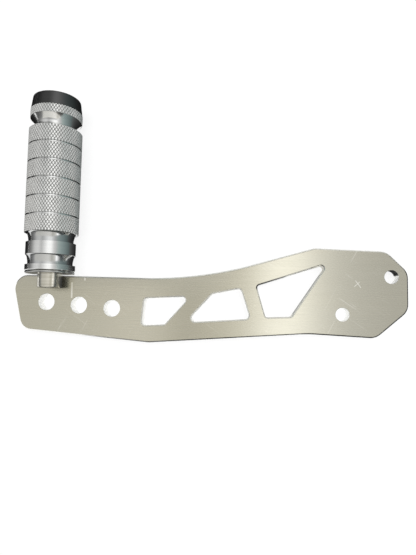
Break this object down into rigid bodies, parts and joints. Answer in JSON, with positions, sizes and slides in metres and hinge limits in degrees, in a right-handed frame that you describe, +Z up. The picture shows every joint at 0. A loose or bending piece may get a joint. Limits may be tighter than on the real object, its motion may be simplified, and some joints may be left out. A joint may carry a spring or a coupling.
{
  "type": "shift lock peg",
  "caption": "Flat steel arm with three windows, peg holes and fixing holes, and a knurled aluminium foot peg that spins on a steel spindle, lying beside it",
  "frame": {"origin": "on the axis of the first peg hole, where it meets the surface the part lies on", "axes": "+X along the arm to its far end, +Y along the peg from its spigot to its cap, +Z up, out of the surface that the plate and the peg lie on"},
  "size_m": [0.1936, 0.1204, 0.0254],
  "materials": {
    "plate_steel": "grain brushed along the arm",
    "sleeve_alloy": "diamond knurl, polished coves and lands",
    "bush_bronze": "sintered bronze",
    "spindle_steel": "fine turned",
    "washer_steel": "bright",
    "screw_steel": "plain",
    "cap_black": "satin black"
  },
  "bodies": {
    "arm": {"arm_plate": "plate_steel", "peg_spindle": "spindle_steel", "thrust_washer": "washer_steel", "retaining_washer": "washer_steel", "retaining_screw": "screw_steel"},
    "sleeve": {"peg_sleeve": "sleeve_alloy", "inner_bush": "bush_bronze", "outer_bush": "bush_bronze", "end_cap": "cap_black"}
  },
  "joints": [
    {"name": "sleeve_spin", "type": "hinge", "parent": "arm", "child": "sleeve", "pos_m": [0.00434, 0.05, 0.0127], "axis": [0, 1, 0], "continuous": true}
  ]
}
